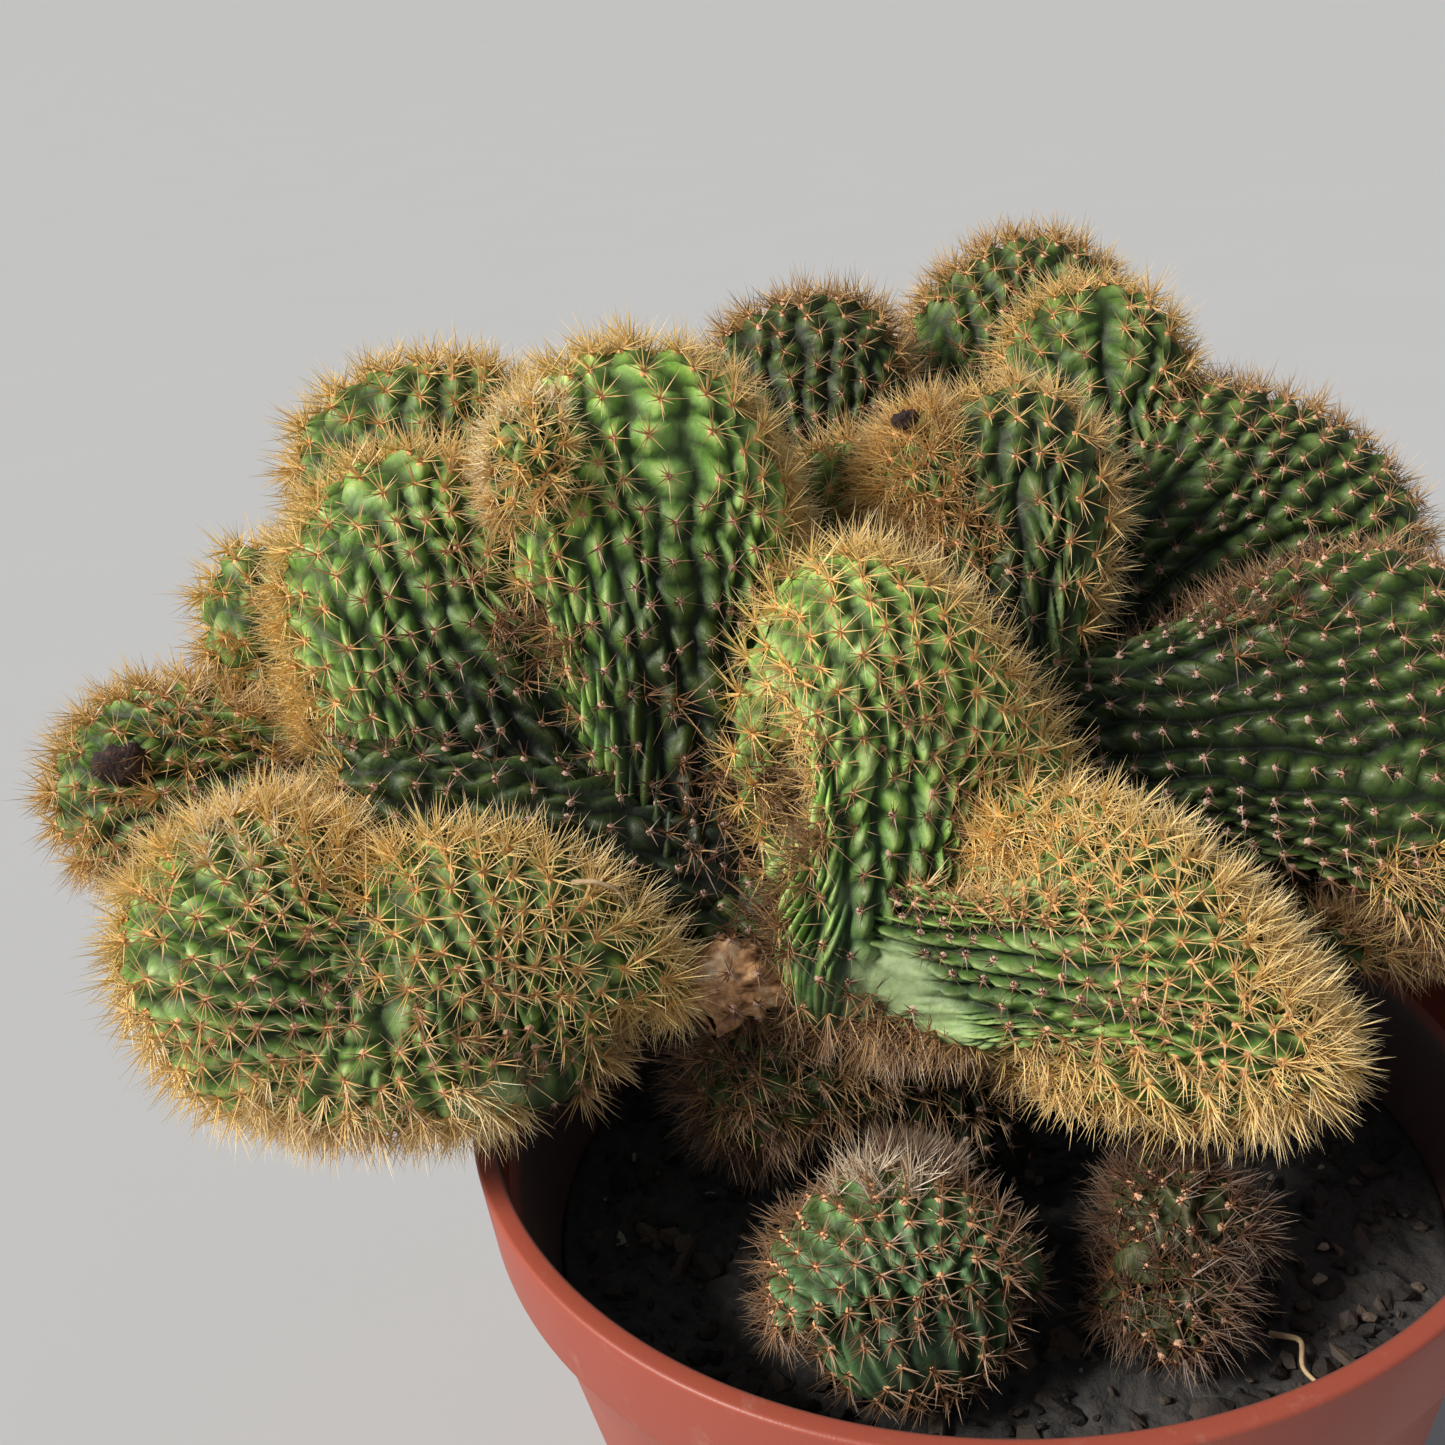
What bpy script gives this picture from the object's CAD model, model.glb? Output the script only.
import math
import time

import bpy
import numpy as np
from mathutils import Matrix, Vector, noise
from mathutils.bvhtree import BVHTree


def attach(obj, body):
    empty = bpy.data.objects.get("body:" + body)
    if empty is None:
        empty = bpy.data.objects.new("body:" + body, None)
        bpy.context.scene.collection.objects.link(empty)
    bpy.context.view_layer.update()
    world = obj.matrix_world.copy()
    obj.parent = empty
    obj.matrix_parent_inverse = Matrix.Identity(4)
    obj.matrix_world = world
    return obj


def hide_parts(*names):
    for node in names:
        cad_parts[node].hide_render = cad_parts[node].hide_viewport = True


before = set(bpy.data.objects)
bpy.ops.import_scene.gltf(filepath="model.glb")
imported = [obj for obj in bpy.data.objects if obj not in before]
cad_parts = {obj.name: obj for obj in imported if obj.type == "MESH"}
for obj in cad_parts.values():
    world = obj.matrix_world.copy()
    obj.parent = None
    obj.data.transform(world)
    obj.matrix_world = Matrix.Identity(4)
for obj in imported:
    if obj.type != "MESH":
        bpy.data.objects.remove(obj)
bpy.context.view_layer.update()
started = time.time()
mm = 0.001
fullTurn = 2 * math.pi
bakeMap = "OFBake"  # the map the patterns are laid out on

# the pot's sizes as in the model, everything on the plant is measured from its rim
pot = {
    "radius": 55 * mm,
    "height": 88 * mm,
    "baseRadius": 55 * mm * 0.69,
    "bandHeight": 88 * mm * 0.115,
    "step": 2.2 * mm,
    "lip": 2.3 * mm,
    "wall": 1.9 * mm,
    "floor": 2.6 * mm,
    "rounding": 0.5 * mm,
    "turns": 168,
    "drainCount": 6,
    "drainRadius": 3.5 * mm,
    "drainCircle": 55 * mm * 0.69 * 0.6,
    "colour": (0.36, 0.076, 0.046),
    "cloud": (0.28, 0.055, 0.035),
    "shade": (0.11, 0.065, 0.06),
    "dust": (0.46, 0.27, 0.21),
}
potBodyTop = pot["radius"] - pot["step"] - 0.6 * mm
potInnerTop = potBodyTop - pot["wall"]
potInnerBase = pot["baseRadius"] - pot["wall"]
potBodyHeight = pot["height"] - pot["bandHeight"]

soil = {
    "drop": 21 * mm,
    "heap": 2.5 * mm,
    "gap": 0.3 * mm,
    "lump": 1.3 * mm,
    "lumpSize": 6.5 * mm,
    "crumb": 0.55 * mm,
    "crumbSize": 1.7 * mm,
    "rings": 84,
    "turns": 300,
    "colour": (0.027, 0.026, 0.028),
    "dry": (0.062, 0.058, 0.054),
    "grains": 1300,
    "paleGrains": 0.04,
    "seed": 4,
}


def report(stage):
    print("%5.1f s  %s" % (time.time() - started, stage))


# one wrapped socket, so that shader maths reads as plain sums
class Socket:
    def __init__(self, shader, output):
        self.shader = shader
        self.output = output

    def math(self, operation, other, flipped=False):
        first, second = (other, self) if flipped else (self, other)
        return self.shader.node("ShaderNodeMath", {"operation": operation}, {0: first, 1: second})

    def __add__(self, other):
        return self.math("ADD", other)

    def __sub__(self, other):
        return self.math("SUBTRACT", other)

    def __rsub__(self, other):
        return self.math("SUBTRACT", other, True)

    def __mul__(self, other):
        return self.math("MULTIPLY", other)

    __radd__, __rmul__ = __add__, __mul__


class Shader:
    def __init__(self, name, **constants):
        self.material = bpy.data.materials.new(name)
        self.material.use_nodes = True
        self.tree = self.material.node_tree
        self.main = self.tree.nodes["Principled BSDF"]
        for key, value in constants.items():
            self.main.inputs[key].default_value = value

    def join(self, socket, value):
        if isinstance(value, Socket):
            self.tree.links.new(value.output, socket)
        elif isinstance(value, tuple) and len(value) == 3 and socket.type == "RGBA":
            socket.default_value = (*value, 1)
        else:
            socket.default_value = value

    def node(self, kind, settings=None, sockets=None, output=0):
        made = self.tree.nodes.new(kind)
        for key, value in (settings or {}).items():
            if key == "stops":
                ramp = made.color_ramp.elements
                while len(ramp) < len(value):
                    ramp.new(0.5)
                for stop, (place, colour) in zip(ramp, value):
                    stop.position = place
                    stop.color = (*colour, 1)
            else:
                setattr(made, key, value)
        for key, value in (sockets or {}).items():
            self.join(made.inputs[key], value)
        return Socket(self, made.outputs[output])

    def attribute(self, name):
        return self.node("ShaderNodeAttribute", {"attribute_name": name}, output="Fac")

    def place(self):
        return self.node("ShaderNodeTexCoord", output="Object")

    def noise(self, size, detail=3.0, rough=0.5):
        sockets = {"Vector": self.place(), "Scale": 1 / size, "Detail": detail, "Roughness": rough}
        return self.node("ShaderNodeTexNoise", {}, sockets, "Fac")

    def ramp(self, factor, *stops):
        return self.node("ShaderNodeValToRGB", {"stops": stops}, {"Fac": factor}, "Color")

    def band(self, value, low, high):
        return self.node("ShaderNodeMapRange", {"interpolation_type": "SMOOTHSTEP"},
                         {"Value": value, "From Min": low, "From Max": high}, "Result")

    def mix(self, factor, first, second, blend="MIX"):
        return self.node("ShaderNodeMix", {"data_type": "RGBA", "blend_type": blend},
                         {0: factor, 6: first, 7: second}, 2)

    def bump(self, height, distance, strength=1.0):
        return self.node("ShaderNodeBump", {}, {"Height": height, "Distance": distance, "Strength": strength})

    def finish(self, **inputs):
        for key, value in inputs.items():
            self.join(self.main.inputs[key.replace("_", " ")], value)
        return self.material


def lengths(vectors):
    return np.linalg.norm(vectors, axis=-1)


def unit(vectors):
    return vectors / np.maximum(lengths(vectors), 1e-12)[..., None]


def smooth(value):  # eases from 0 to 1
    value = np.clip(value, 0, 1)
    return value * value * (3 - 2 * value)


def overRim(points):  # from the tables' millimetres over the rim
    return np.array(points, float) * mm + [0, 0, pot["height"]]


def alongLine(points):  # how far each point of a line is from its start
    return np.concatenate([[0], np.cumsum(lengths(np.diff(points, axis=0)))])


def between(points, along, places):
    return np.stack([np.interp(places, along, points[:, axis]) for axis in range(3)], axis=-1)


def addObject(name, data):
    made = bpy.data.objects.new(name, data)
    bpy.context.scene.collection.objects.link(made)
    return made


def newPiece(name, points, faces, material, node, slotName, values=None, uv=None, softly=True):
    mesh = bpy.data.meshes.new(name)
    mesh.from_pydata(np.asarray(points, float), [], faces if isinstance(faces, list) else faces.tolist())
    for key, data in (values or {}).items():
        layer = mesh.attributes.new(key, "FLOAT", "POINT")
        layer.data.foreach_set("value", np.ascontiguousarray(data, dtype=np.float32))
    if uv is not None:
        layer = mesh.uv_layers.new(name=bakeMap)
        layer.data.foreach_set("uv", np.ascontiguousarray(uv, dtype=np.float32).ravel())
    mesh.polygons.foreach_set("use_smooth", np.full(len(mesh.polygons), softly))
    mesh.materials.append(material)
    mesh.update()
    piece = addObject(name, mesh)
    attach(piece, "root")
    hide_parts(node)


# what a fan looks like where its row in the tables doesn't say otherwise
plainLook = {
    "gold": 0.9,  # how fresh and golden its spines are
    "skin": 1.0,  # how light the green is
    "deep": 0.45,  # how much darker the green gets far from the crest
    "wax": 0.3,  # the pale bloom on the green
    "cork": 0.0,  # dry bark in place of green
    "pitch": 3.9,  # mm between the ribs
    "step": 4.0,  # mm between the areoles of a rib
    "young": 30,  # mm from the crest to the oldest areoles
    "length": 1.0,  # of the spines
    "band": 1.0,  # how far the crest spines reach down the face
    "cover": 1.0,  # how closely they stand
    "thin": (),  # stretches of the crest where fewer grow: from, to, and the share that does
    "twist": 0.0,  # how far the ribs lean over, in ribs for each mm
}

# the fans as in the model, in millimetres over the rim: the middle of the root line, that line's width, the
# thickness at the neck and under the crest, points along the crest, and how the fan looks
mainLobes = {
    "left ball": ((-64, 18, 31), 8, 16, 20, [
        (-77, 27, 37), (-88, 29, 38), (-96, 27, 34), (-98, 24, 27), (-93, 21, 20), (-83, 18, 20)],
        dict(gold=0.78, band=2.6, cover=0.85, skin=0.95, pitch=3.3, step=3.3)),
    "back left fan": ((-50, 30, 38), 18, 18, 18, [
        (-68, 38, 50), (-68, 43, 61), (-60, 45, 67), (-50, 46, 67), (-42, 44, 64), (-39, 38, 56)],
        {}),
    "left fan": ((-45, 9, 28), 26, 18, 20, [
        (-66, 10, 39), (-68, 16, 48), (-67, 21, 55), (-61, 26, 61), (-52, 28, 62), (-45, 25, 59),
        (-41, 20, 51)],
        dict(skin=1.6, deep=0.85, step=4.0, pitch=4.1, wax=0.45)),
    "side left fan": ((-65, 27, 40), 10, 12, 15, [
        (-72, 26, 35), (-78, 29, 38), (-80, 32, 45), (-77, 36, 50), (-69, 36, 52)],
        {}),
    "centre fan": ((-28, 8, 22), 22, 22, 21, [
        (-44, 15, 46), (-46, 20, 57), (-43, 25, 66), (-36, 29, 70), (-28, 30, 70), (-20, 30, 65),
        (-15, 26, 56), (-14, 20, 46)],
        dict(skin=2.0, deep=0.85, step=4.4, pitch=4.5, wax=0.4)),
    "centre curl": ((-38, 18, 56), 6, 9, 12, [
        (-45, 15, 59), (-44, 17, 67), (-39, 18, 70), (-34, 18, 66)],
        dict(gold=1.15, band=2.2, cover=1.4, length=0.6)),
    "lower fold": ((-28, 6, 22), 16, 20, 22, [
        (-57, 3, 24), (-65, 5, 29), (-66, 10, 37), (-58, 13, 41)],
        dict(gold=0.3, skin=0.38, band=0.8)),
    "front left tip": ((-56, -9, 20), 16, 18, 22, [
        (-61, -4, 35), (-70, -1, 37.5), (-80, -2, 34), (-84, -5, 28), (-83, -8, 20), (-77, -12, 12),
        (-67, -13, 9)],
        dict(gold=0.98, band=1.2, step=3.0, pitch=3.3, skin=1.42, deep=0, wax=0.6)),
    "front left fan": ((-47, -9, 14), 18, 16, 22, [
        (-64, -12, 14), (-66, -11, 22), (-62, -8, 30), (-55, -5, 34), (-47, -4, 33), (-40, -5, 30),
        (-33, -8, 23), (-31, -10, 15)],
        dict(gold=0.98, band=1.2, step=3.1, pitch=3.3, skin=1.2, deep=0, wax=0.75)),
    "lower fringe": ((-58, -9, 24), 16, 16, 17, [
        (-75, -13, 14), (-67, -16, 10.5), (-58, -16.5, 9.5), (-50, -15.5, 9), (-43, -13, 11)],
        dict(gold=0.7, band=1.5, skin=1.35, step=3.0, pitch=3.2, deep=0, wax=0.75)),
    "centre finger": ((-13.5, -2.5, 15), 22, 18, 19, [
        (-20, -1, 34), (-20, 4, 45), (-16, 7, 52), (-9, 9, 53), (-1, 9, 48), (5, 8, 39), (10, 5, 30),
        (10, 2, 21)],
        dict(gold=0.98, skin=1.85, step=3.2, pitch=3.2, deep=0, wax=0.6, twist=-0.07,
             thin=((0, 0.4, 0.25), (0.62, 1, 0.5)))),
    "front arm": ((-10.5, -3, 16), 19, 16, 21, [
        (1, -9, 30), (8, -9, 32), (17, -11, 29), (24, -16, 22), (28.5, -20.5, 15), (29, -24, 10),
        (24, -25, 7), (14, -23, 6.5), (4, -18, 7)],
        dict(gold=0.98, skin=1.15, band=1.1, step=2.9, pitch=2.9, length=0.85, deep=0, wax=0.4, young=32,
             twist=0.07, thin=((0.62, 1, 0.5),))),
    "back middle fan": ((-11, 47, 38), 16, 18, 18, [
        (-23, 57, 50), (-20, 63, 61), (-9, 65, 66), (1, 63, 63), (3, 56, 51)],
        dict(gold=0.52, skin=0.42, step=3.4, pitch=3.5, band=1.3)),
    "back top fan": ((17, 60, 40), 18, 20, 18, [
        (6, 74, 50), (9, 79, 61), (21, 82, 66), (31, 79, 64), (35, 73, 55)],
        dict(gold=0.6, skin=0.65, step=3.4, pitch=3.5, band=1.7, cover=1.2)),
    "back top front fan": ((25, 48, 42), 14, 16, 17, [
        (15, 59, 52), (18, 62, 61), (27, 63, 64), (35, 60, 60), (38, 54, 51)],
        dict(gold=0.8, skin=0.85)),
    "right back fan": ((17, 33, 27), 20, 22, 20, [
        (30, 53, 52), (40, 54, 53), (51, 52, 48), (59, 47, 41), (61, 41, 33), (55, 34, 26)],
        dict(gold=0.5, skin=0.64, band=0.8, step=3.5, pitch=3.6)),
    "right fan": ((0, 17, 22), 22, 24, 23, [
        (36, 26, 36), (50, 26, 39), (58, 21, 36), (63, 13, 28), (62, 5, 18), (54, -1, 9), (46, -3, 7),
        (38, 0, 11)],
        dict(gold=0.4, skin=0.5, band=0.9, step=3.5, pitch=3.6)),
    "middle head": ((7, 19, 34), 14, 17, 18, [
        (2, 27, 45), (1, 32, 53), (4, 35, 58), (12, 36, 60), (18, 33, 57), (20, 27, 49), (17, 22, 40)],
        dict(gold=0.8, skin=0.55, band=0.8, step=4.6, pitch=4.6)),
    "middle curl": ((5, 28, 46), 8, 11, 14, [
        (-3, 26, 47), (-5, 30, 55), (0, 33, 60), (7, 32, 58)],
        dict(gold=0.75, band=2.6, cover=1.5)),
    "small back tip": ((-8, 35, 42), 6, 9, 11, [
        (-14, 39, 48), (-11, 42, 53), (-5, 43, 54), (-2, 38, 50)],
        dict(gold=0.7, band=1.3)),
    "cut stump": ((-16, 0, 14), 7, 10, 9, [
        (-28, -11, 12), (-30, -9.5, 17), (-27, -8, 21.5)],
        dict(gold=0.1, cover=0.0, cork=1.0)),
    "old front fold": ((-12, 0, 2), 12, 16, 13, [
        (-26, -6, 12), (-31, -6, 5), (-31, -6, -2), (-25, -5, -8)],
        dict(gold=0.2, skin=0.45, band=2.4, cover=1.1)),
    "trunk": ((-4, 2, -11), 16, 22, 28, [
        (-38, 2, 10), (-34, 3, 22), (-10, 8, 30), (12, 12, 28), (22, 12, 16)],
        dict(gold=0.0, skin=0.36, band=0.6, cover=0.6, length=0.8)),
    "back trunk": ((-4, 8, 8), 26, 22, 26, [
        (-52, 24, 36), (-32, 36, 42), (-8, 44, 42), (16, 46, 42), (30, 36, 32)],
        dict(gold=0.05, skin=0.5, band=0.6, cover=0.6)),
}
frontOffsetLobes = {
    "front offset": ((-12.5, -26, -11), 19, 18, 21, [
        (-25.5, -26, -12), (-24.5, -22, -4), (-14, -19.5, 0.5), (-4, -21, -4), (-0.5, -25, -12)],
        dict(gold=0.6, band=0.4, cover=0.6, step=2.7, pitch=2.7, length=0.8, skin=1.15, young=80)),
}
sideOffsetLobes = {
    "upper ball": ((15.5, -20.5, -13), 6, 10, 14, [
        (8, -21, -12), (9, -19, -7), (13, -17.5, -4), (18, -18, -4.5), (22, -20, -8), (23, -22, -12)],
        dict(gold=0.4, skin=0.6, band=5.0, cover=1.1, step=2.8, pitch=3.0, length=0.9, young=80)),
    "lower ball": ((13, -25, -14), 5, 9, 12, [
        (6, -27, -14), (7, -28, -10.5), (13, -29, -8.5), (18, -28.5, -11), (19, -27, -14)],
        dict(gold=0.35, skin=0.6, band=4.0, cover=1.0, step=2.8, pitch=3.0, length=0.9, young=80)),
}

# smooth healed places without ribs: centre and radius
scars = [
    ((-10.5, -12.5, 17), 4.2),
    ((-6.5, -15, 13), 3.8),
    ((-2, -17, 9.5), 2.6),
    ((-50, -18, 12), 4.2),
    ((-15, -12.5, 26), 3.0),
]

# patches of crowded, old or woolly spines: centre, radius, tufts, how golden, and a length for the odd ones
patches = [
    ((-42, 9, 47.5), 5.0, 40, 0.3),
    ((-20, -9, 8), 11.0, 150, 0.34),
    ((-6, -10, 4), 11.0, 130, 0.32),
    ((-34, -4, 16), 6.0, 50, 0.22),
    ((-24, -2, 32), 9.0, 50, 0.2),
    ((-72, -7, 37), 5.0, 18, 1.25),
    ((-14, -22, 0.5), 4.5, 22, 1.3),
    ((33, 18, 39), 9.0, 50, 0.25),
    ((29, -19, 15), 13.0, 130, 0.95),
    ((-2, 29, 53), 9.0, 130, 0.55),
    ((1, 20, 46), 7.0, 80, 0.5),
    ((44, -4, 12), 9.0, 110, 0.7),
    ((-68, -17, 12), 7.0, 45, 1.1),
    ((-54, -18, 10), 7.0, 45, 1.1),
    ((-21, -2, 30), 8.0, 45, 0.34),
    ((-23, -6, 20), 5.0, 30, 0.28),
    ((-40, 13, 64), 6.5, 30, 0.6),
    ((-84, 20, 33), 16.0, 230, 0.66),
    ((-65, 2, 36), 6.0, 60, 0.9),
    ((-37, -11, 11), 6.0, 50, 0.5),
    ((-30, 4, 42), 2.5, 3, 0.3, (5, 8)),
    ((-84, -6, 28), 3.0, 1, 0.3, (7, 9)),
]

ribs = {
    "samples": 8,
    "rowStep": 0.8 * mm,
    "depth": 1.5 * mm,
    "sharp": 1.6,
    "knob": 0.7,
    "crestKnob": 0.2,
    "slant": 0.3,
    "youngRows": 1.4,
    "youngReach": 8 * mm,
    "wander": 0.24,
    "joinDraw": 0.28,
    "joinFrom": 0.25,
    "joinOver": 0.3,
    "joinedWider": 0.3,
    "dents": 0.28 * mm,
    "scarLevel": 0.55,
    "seed": 21,
}
straightShare = 0.62  # how much of the way up is straight, the rest rounds over to the crest
sectionSpread = 0.42  # half the width of a fan's cross section, as a share of its crest
sectionPower = 2.5  # how square that section is, 2 is an ellipse


class Lobe:
    def __init__(self, root, width, neck, thick, crest):
        points = overRim(crest)
        padded = np.vstack([2 * points[0] - points[1], points, 2 * points[-1] - points[-2]])
        samples = []
        for first in range(len(points) - 1):
            p0, p1, p2, p3 = padded[first:first + 4]
            for t in np.linspace(0, 1, 24, endpoint=False):
                samples.append(0.5 * (2 * p1 + (p2 - p0) * t + (2 * p0 - 5 * p1 + 4 * p2 - p3) * t ** 2
                                      + (3 * p1 - p0 - 3 * p2 + p3) * t ** 3))
        samples = np.array(samples + [points[-1]])
        along = alongLine(samples)
        self.crestLength = along[-1]
        self.crest = between(samples, along, np.linspace(0, self.crestLength, 240))
        self.root = overRim(root)
        self.width, self.neck, self.thick = width * mm, neck * mm, thick * mm
        self.heading = unit(self.crest.mean(axis=0) - self.root)
        across = self.crest[-1] - self.crest[0]
        self.across = unit(across - self.heading * (across @ self.heading))

    def sheet(self, t, u):  # the middle of the fan, from its root line to its crest
        count = len(self.crest)
        end = between(self.crest, np.arange(count), np.clip(t, 0, 1) * (count - 1))
        start = self.root + (t - 0.5)[..., None] * self.width * self.across
        middle = start + self.heading * lengths(end - start)[..., None] * 0.5
        u = u[..., None]
        return (1 - u) ** 2 * start + 2 * u * (1 - u) * middle + u ** 2 * end

    def surface(self, t, side, rise):  # the skin without its ribs
        step = 0.01
        turn = np.clip((rise - straightShare) / (1 - straightShare), 0, 1) * math.pi / 2
        reach = lengths(self.sheet(t, np.ones_like(t)) - self.sheet(t, np.zeros_like(t)))
        cap = np.clip(self.thick / 2 / reach, 0.15, 0.6)
        u = np.minimum(rise / straightShare, 1) * (1 - cap) + cap * np.sin(turn)
        along = self.sheet(np.clip(t + step, 0, 1), u) - self.sheet(np.clip(t - step, 0, 1), u)
        up = self.sheet(t, np.clip(u + step, 0, 1)) - self.sheet(t, np.clip(u - step, 0, 1))
        normal = unit(np.cross(along, up))
        half = (self.neck + (self.thick - self.neck) * smooth(u / (1 - cap))) / 2 * np.cos(turn)
        return self.sheet(t, u) + normal * (side * half)[..., None]

    def ring(self, count):  # evenly spaced places round the fan's cross section, and its girth
        angle = np.linspace(0, fullTurn, 721)
        power = 2 / sectionPower
        x = np.sign(np.cos(angle)) * np.abs(np.cos(angle)) ** power
        y = np.sign(np.sin(angle)) * np.abs(np.sin(angle)) ** power
        length = np.hypot(np.diff(x) * self.crestLength * sectionSpread, np.diff(y) * self.thick / 2)
        along = np.concatenate([[0], np.cumsum(length)])
        even = (np.arange(count) + 0.5) / count * along[-1]
        return (1 - np.interp(even, along, x)) / 2, np.interp(even, along, y), along[-1]

    def rows(self, columns, step):  # evenly spaced rings of the skin, root first
        t, side, _ = self.ring(columns)
        trial = np.linspace(0, 1, 80)
        along = alongLine(self.surface(np.full(80, 0.5), np.ones(80), trial))
        count = max(8, round(along[-1] / step))
        rise = np.interp(np.linspace(0, along[-1], count + 1), along, trial)
        shape = (len(rise), columns)
        body = self.surface(np.broadcast_to(t, shape), np.broadcast_to(side, shape),
                            np.broadcast_to(rise[:, None], shape))
        turns = np.radians([82, 66, 50, 34, 17])[:, None, None]
        depth = self.heading * self.neck / 2 * np.sin(turns)
        cap = self.root + (body[0] - self.root) * np.cos(turns) - depth
        return np.concatenate([cap, body])


def gridNormals(points):  # outward directions on a closed band of rings
    across = np.roll(points, -1, axis=1) - np.roll(points, 1, axis=1)
    up = np.gradient(points, axis=0)
    normals = unit(np.cross(across, up))
    centre = points.mean(axis=1, keepdims=True)
    if ((points - centre) * normals).sum(axis=-1).mean() < 0:
        normals = -normals
    normals[-1] = unit(points[-1] - points[-4])
    return normals


def gridFaces(rows, columns):  # the quads of a closed band of rings
    first = np.arange(rows - 1)[:, None] * columns
    column = np.arange(columns)[None]
    after = (column + 1) % columns
    return np.stack([first + column, first + after, first + columns + after, first + columns + column],
                    axis=-1).reshape(-1, 4)


def offTwins(place, middle, half):  # how far places are from the nearer of two ribs beside a middle line
    return np.minimum(np.abs(place - middle - half), np.abs(place - middle + half))


class Fan:
    # a lobe with its ribs, knobs and the places of its areoles
    def __init__(self, name, row, seed):
        *shape, look = row
        self.name = name
        self.look = {**plainLook, **look}
        self.chance = np.random.default_rng(seed)
        self.lobe = Lobe(*shape)
        self.pitch = self.look["pitch"] * mm
        self.ribCount = 4 * max(2, round(self.lobe.ring(8)[2] / (4 * self.pitch)))
        self.columns = self.ribCount * ribs["samples"]
        self.base = self.lobe.rows(self.columns, ribs["rowStep"])
        self.shareAlong = self.lobe.ring(self.columns)[0]
        self.smoothNormals = gridNormals(self.base)
        steps = lengths(np.diff(self.base, axis=0))
        below = np.cumsum(steps[::-1], axis=0)[::-1]
        self.fromCrest = np.concatenate([below, np.zeros((1, self.columns))])
        self.raiseRibs()
        coarse = self.base[::3, ::5]
        count = coarse.shape[1]
        faces = gridFaces(len(coarse), count).tolist()
        self.tree = BVHTree.FromPolygons([Vector(p) for p in coarse.reshape(-1, 3)],
                                         faces + [list(range(count))[::-1]])
        flat = self.base.reshape(-1, 3)
        self.low, self.high = flat.min(axis=0), flat.max(axis=0)
        middle = Vector(flat.mean(axis=0))
        hit, normal, _, _ = self.tree.find_nearest(middle)
        self.turned = 1 if (hit - middle).dot(normal) > 0 else -1

    def swell(self, place):  # gentle seeded dents and swellings
        total = 0
        for turns, length, share in ((2, 31, 1.0), (3, 19, 0.8), (5, 13, 0.6), (7, 8, 0.4), (11, 5, 0.25)):
            phase = self.chance.uniform(0, fullTurn, 2)
            total = total + share * np.sin(fullTurn * turns * place / self.ribCount + phase[0]) * np.sin(
                fullTurn * self.fromCrest / (length * mm) + phase[1])
        return total

    def rowsDown(self, distance):  # how many areoles lie above a place on a rib, they crowd at the crest
        young = ribs["youngRows"] * (1 - np.exp(-distance / ribs["youngReach"]))
        return distance / (self.look["step"] * mm) + young

    def raiseRibs(self):
        # ribs join two by two where the fan narrows, so that they stay about as far apart
        rows, chance = len(self.base), self.chance
        girth = lengths(np.roll(self.base, 1, axis=1) - self.base).sum(axis=1)
        crowd = np.log2(np.maximum(self.ribCount * self.pitch / girth, 1))
        crowd[np.argmax(girth):] = 0
        crowd = crowd[:, None] - ribs["joinFrom"]
        number = np.arange(self.ribCount)
        draw = ribs["joinDraw"]
        pairs = chance.uniform(-draw, draw, self.ribCount // 2)[number // 2]
        fours = chance.uniform(-draw, draw, self.ribCount // 4)[number // 4]
        self.joined = smooth((crowd + pairs) / ribs["joinOver"])
        self.joinedAgain = smooth((crowd - 1 + fours) / ribs["joinOver"])
        zigzag = 0.5 * (number % 2) + 0.25 * (number // 2 % 2)
        self.phases = (zigzag + chance.normal(0, 0.08, self.ribCount)) % 1
        # ribs wander a little, and where a place then lies among them
        column = np.arange(self.columns)
        waves = zip((3, -5, 9), (24, 17, 11), chance.uniform(0, 6.3, 3))
        waves = sum(np.sin(fullTurn * (turns * column / self.columns + self.fromCrest / (reach * mm)) + phase)
                    for turns, reach, phase in waves)
        self.wander = ribs["wander"] * waves / 1.6 + self.look["twist"] * self.fromCrest / mm
        straight = (column + 0.5) / ribs["samples"]
        place = (straight + self.wander) % self.ribCount
        near = place.astype(int)
        row = np.arange(rows)[:, None]
        once, twice = self.joined[row, near], self.joinedAgain[row, near]
        off = offTwins(place, 2 * np.floor(place / 2) + 1, 0.5 * (1 - once)) / (0.5 * (1 + once))
        offTwice = offTwins(place, 4 * np.floor(place / 4) + 2, 1 - twice) / (1 + twice)
        off = np.clip(np.where(twice > 0, offTwice, off), 0, 1)
        owner = np.where(twice > 0.5, near // 4 * 4, np.where(once > 0.5, near // 2 * 2, near))
        turn = self.rowsDown(self.fromCrest) - self.phases[owner] + ribs["slant"] * off
        knob = 1 - (0.5 - 0.5 * np.cos(fullTurn * turn)) ** 2
        share = ribs["knob"] + ribs["crestKnob"] * np.exp(-self.fromCrest / (10 * mm))
        ridge = (1 - off ** ribs["sharp"]) * (1 - share + share * knob)
        self.line = (1 - off) ** 2 * (0.15 + 0.85 * knob)
        self.scar = np.zeros(ridge.shape)
        for centre, radius in scars:
            away = lengths(self.base - overRim(centre)) / (radius * mm)
            self.scar = np.maximum(self.scar, smooth(1.6 - away * 1.2))
        self.ridge = ridge * (1 - self.scar) + ribs["scarLevel"] * self.scar
        crestFade = np.clip(self.fromCrest / (3 * mm), 0.3, 1)
        rootFade = np.clip((row - 2) / 5, 0, 1)
        wide = 1 + ribs["joinedWider"] * (once + twice)
        lift = (self.ridge - 0.6) * ribs["depth"] * wide * crestFade + ribs["dents"] * self.swell(straight)
        self.skin = self.base + self.smoothNormals * (lift * rootFade)[..., None]

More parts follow.
